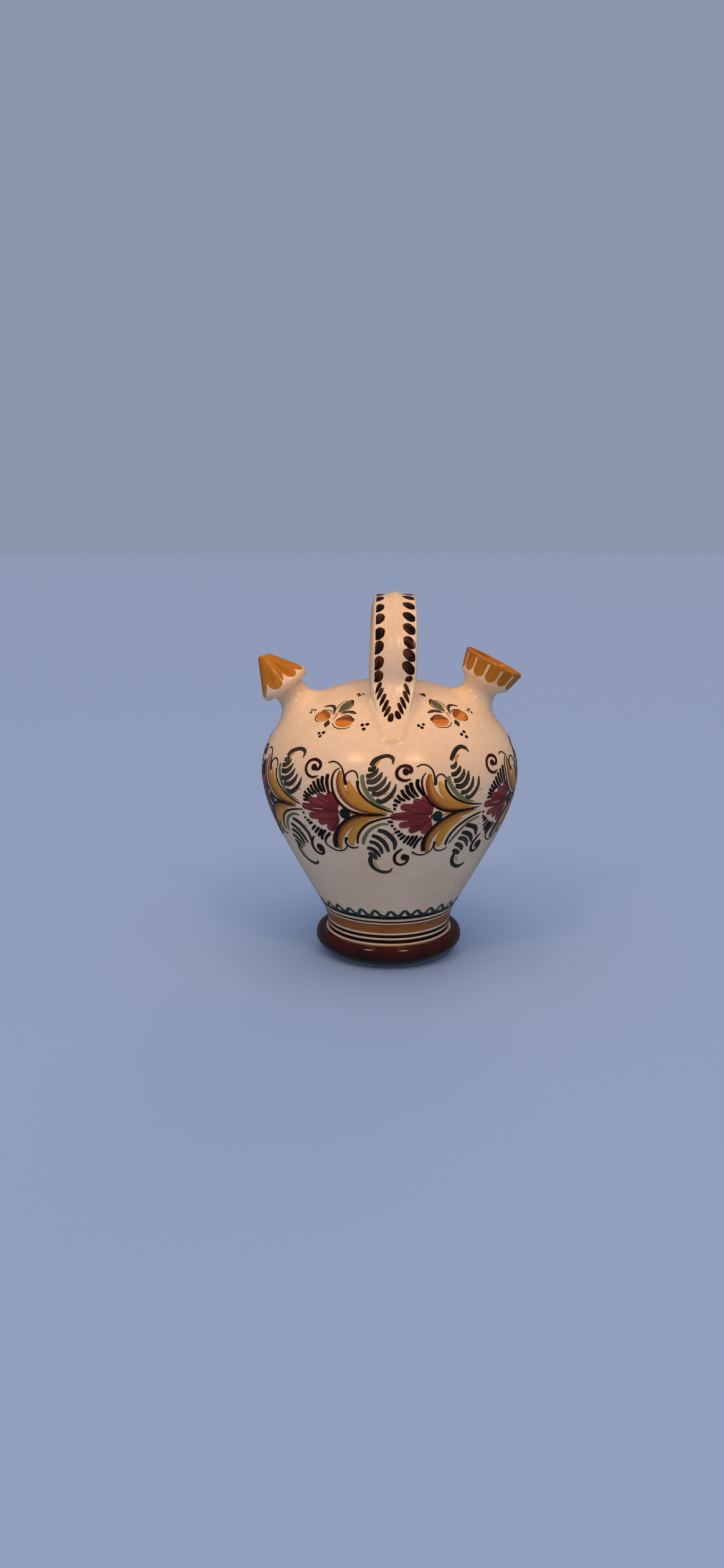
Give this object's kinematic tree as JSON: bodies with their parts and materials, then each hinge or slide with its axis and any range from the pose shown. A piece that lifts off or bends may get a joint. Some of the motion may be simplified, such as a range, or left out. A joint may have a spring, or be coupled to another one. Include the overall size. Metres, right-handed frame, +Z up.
{
  "type": "water jug",
  "caption": "Glazed earthenware water jug with a domed body on a spreading foot, a filling mouth, a small pouring spout and a strap handle arching over the top.",
  "frame": {"origin": "middle of the face that the jug stands on", "axes": "+Z up along the body's axis, +X from the body towards the filling mouth, -X towards the pouring spout, the handle arching along Y"},
  "size_m": [0.2072, 0.2072, 0.2961],
  "materials": {
    "cream_glaze": "glossy cream tin glaze with painted decoration",
    "brown_glaze": "glossy dark brown glaze",
    "ochre_glaze": "glossy cream glaze with ochre brush strokes"
  },
  "bodies": {
    "root": {"foot_ring": "brown_glaze", "lower_bowl": "cream_glaze", "upper_dome": "cream_glaze", "filling_mouth": "ochre_glaze", "mouth_luting_coil": "cream_glaze", "pouring_spout": "ochre_glaze", "spout_luting_coil": "cream_glaze", "strap_handle": "cream_glaze", "front_handle_wad": "cream_glaze", "rear_handle_wad": "cream_glaze"}
  },
  "joints": []
}
